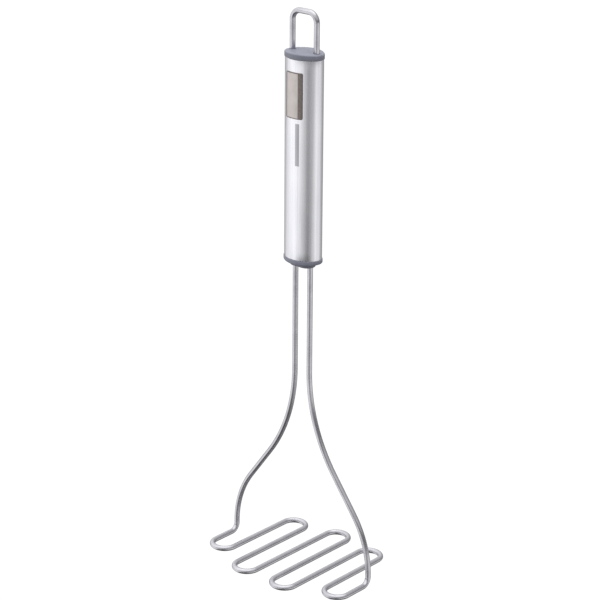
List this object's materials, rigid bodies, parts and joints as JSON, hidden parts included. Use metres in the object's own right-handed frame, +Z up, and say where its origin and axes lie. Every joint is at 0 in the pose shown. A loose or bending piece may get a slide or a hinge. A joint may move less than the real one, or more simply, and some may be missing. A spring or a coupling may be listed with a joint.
{
  "type": "potato masher",
  "caption": "Wire potato masher: flat serpentine wire head on two flared legs that join a hollow oval steel handle with moulded end caps and a wire hanging loop.",
  "frame": {"origin": "on the surface the head stands on, under the axis of the handle", "axes": "+Z up the handle, X from leg to leg across the runs of the head, Y along the runs; the badge faces -Y"},
  "size_m": [0.0996, 0.0748, 0.3068],
  "materials": {
    "wire_steel": "polished drawn stainless wire",
    "tube_steel": "satin stainless tube",
    "cap_plastic": "satin moulded grey-blue plastic",
    "plate_steel": "plain pressed steel",
    "badge_frame": "dark satin enamel",
    "badge_inlay": "pale bronze satin, left plain"
  },
  "bodies": {
    "root": {"masher_wire": "wire_steel", "hanging_loop": "wire_steel", "handle_tube": "tube_steel", "bottom_cap": "cap_plastic", "top_cap": "cap_plastic", "shank_bridge": "plate_steel", "loop_keeper": "plate_steel", "badge_frame": "badge_frame", "badge_inlay": "badge_inlay"}
  },
  "joints": []
}
